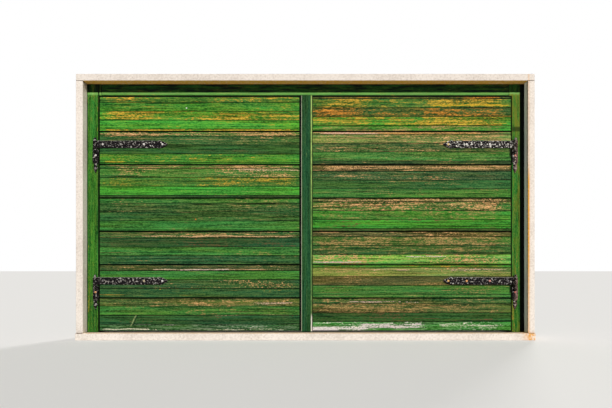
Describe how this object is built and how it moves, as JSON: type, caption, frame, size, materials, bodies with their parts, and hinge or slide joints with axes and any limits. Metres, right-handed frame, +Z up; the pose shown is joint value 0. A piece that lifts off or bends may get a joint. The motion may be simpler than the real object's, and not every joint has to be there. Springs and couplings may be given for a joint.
{
  "type": "window shutters",
  "caption": "Pair of boarded wooden shutter leaves on strap hinges, in a rebated timber frame inside a stone window surround.",
  "frame": {"origin": "middle of the underside of the stone sill", "axes": "+X to the right seen from the street, -Y towards the street, +Z up"},
  "size_m": [2.02, 0.16, 1.172],
  "materials": {
    "limestone": "sawn, weathered, stained at the lower right",
    "frame_paint": "old green paint",
    "left_board_paint": "worn green paint with bare ochre wood",
    "right_board_paint": "heavily worn green paint with bare ochre wood",
    "strip_paint": "deep green paint",
    "batten_paint": "green paint",
    "black_iron": "hammered, black, rubbed at the edges",
    "nail_steel": "dull zinc, some rust"
  },
  "bodies": {
    "surround": {"stone_sill": "limestone", "stone_lintel": "limestone", "stone_jamb_left": "limestone", "stone_jamb_right": "limestone", "frame_post_left": "frame_paint", "frame_post_right": "frame_paint", "frame_head": "frame_paint", "pintle_left_upper": "black_iron", "pintle_left_lower": "black_iron", "pintle_right_upper": "black_iron", "pintle_right_lower": "black_iron", "hinge_pins": "black_iron", "pintle_nails": "nail_steel", "post_spikes": "nail_steel", "head_spikes": "nail_steel"},
    "left_leaf": {"left_board_1": "left_board_paint", "left_board_2": "left_board_paint", "left_board_3": "left_board_paint", "left_board_4": "left_board_paint", "left_board_5": "left_board_paint", "left_board_6": "left_board_paint", "left_board_7": "left_board_paint", "left_batten_hinge": "batten_paint", "left_batten_middle": "batten_paint", "left_batten_meeting": "batten_paint", "strap_left_upper": "black_iron", "strap_left_lower": "black_iron", "strap_nails_left": "nail_steel", "batten_nails_left": "nail_steel", "hook_stud": "black_iron"},
    "right_leaf": {"right_board_1": "right_board_paint", "right_board_2": "right_board_paint", "right_board_3": "right_board_paint", "right_board_4": "right_board_paint", "right_board_5": "right_board_paint", "right_board_6": "right_board_paint", "right_board_7": "right_board_paint", "right_batten_hinge": "batten_paint", "right_batten_middle": "batten_paint", "right_batten_meeting": "batten_paint", "cover_strip": "strip_paint", "strap_right_upper": "black_iron", "strap_right_lower": "black_iron", "strap_nails_right": "nail_steel", "batten_nails_right": "nail_steel", "hook_pivot": "black_iron"},
    "hook": {"turning_hook": "black_iron"}
  },
  "joints": [
    {"name": "right_leaf_hinge", "type": "hinge", "parent": "surround", "child": "right_leaf", "pos_m": [0.94, -0.0303, 0.871], "axis": [0, 0, 1], "range_deg": [0, 135]},
    {"name": "left_leaf_hinge", "type": "hinge", "parent": "surround", "child": "left_leaf", "pos_m": [-0.94, -0.0303, 0.871], "axis": [0, 0, 1], "range_deg": [-135, 0]},
    {"name": "hook_swing", "type": "hinge", "parent": "right_leaf", "child": "hook", "pos_m": [0.045, 0.0354, 0.5605], "axis": [0, -1, 0], "range_deg": [-60, 270]}
  ],
  "couplings": [
    {"joint": "left_leaf_hinge", "follows": "right_leaf_hinge", "ratio": -1}
  ]
}
